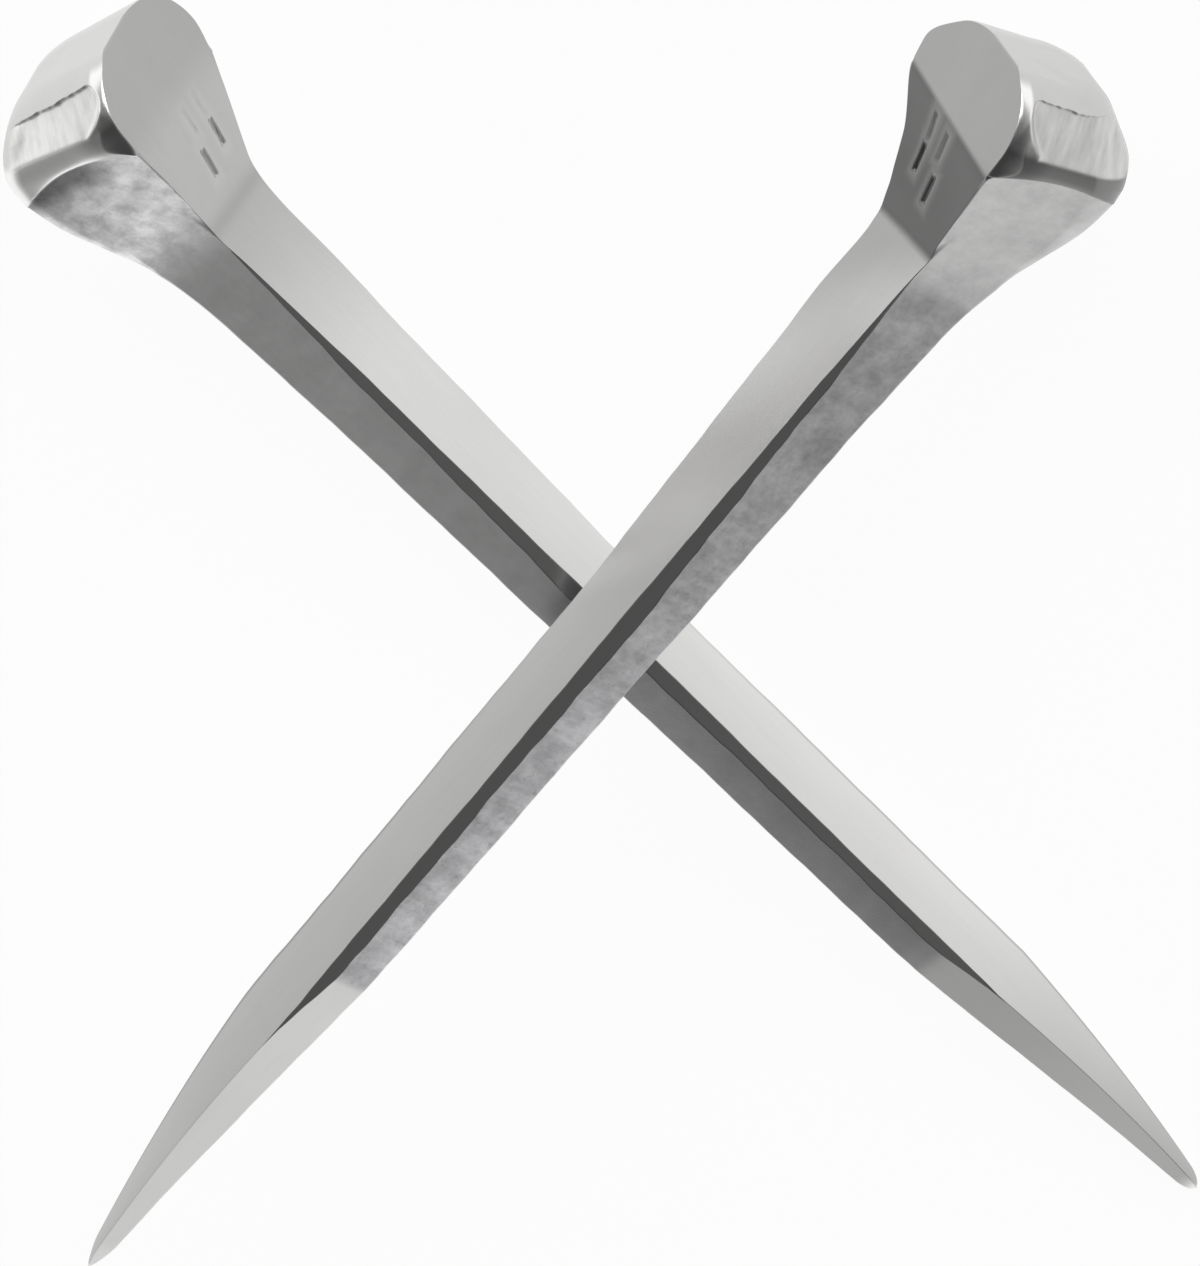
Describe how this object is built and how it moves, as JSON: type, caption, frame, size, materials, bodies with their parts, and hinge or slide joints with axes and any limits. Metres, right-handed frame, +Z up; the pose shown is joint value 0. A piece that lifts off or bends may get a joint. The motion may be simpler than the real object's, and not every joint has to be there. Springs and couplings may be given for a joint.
{
  "type": "horseshoe nail",
  "caption": "Slender forged steel horseshoe nails with tapered rectangular shanks, sheared points and flared, bevelled heads, lying loosely crossed.",
  "frame": {"origin": "centre of the crossed pair's footprint, on the surface it lies on", "axes": "+Z up from that surface, +Y from the points towards the heads, +X to the right when the heads are at the top"},
  "size_m": [0.0414, 0.048, 0.0106],
  "materials": {
    "steel": "bare forged steel, smooth on the drawn faces and mottled on the forged sides"
  },
  "bodies": {
    "lower_nail": {"lower_nail": "steel"},
    "upper_nail": {"upper_nail": "steel"}
  },
  "joints": [
    {"name": "upper_nail_lift", "type": "slide", "parent": "lower_nail", "child": "upper_nail", "axis": [0, 0, 1], "range_m": [0, 0.05]}
  ]
}
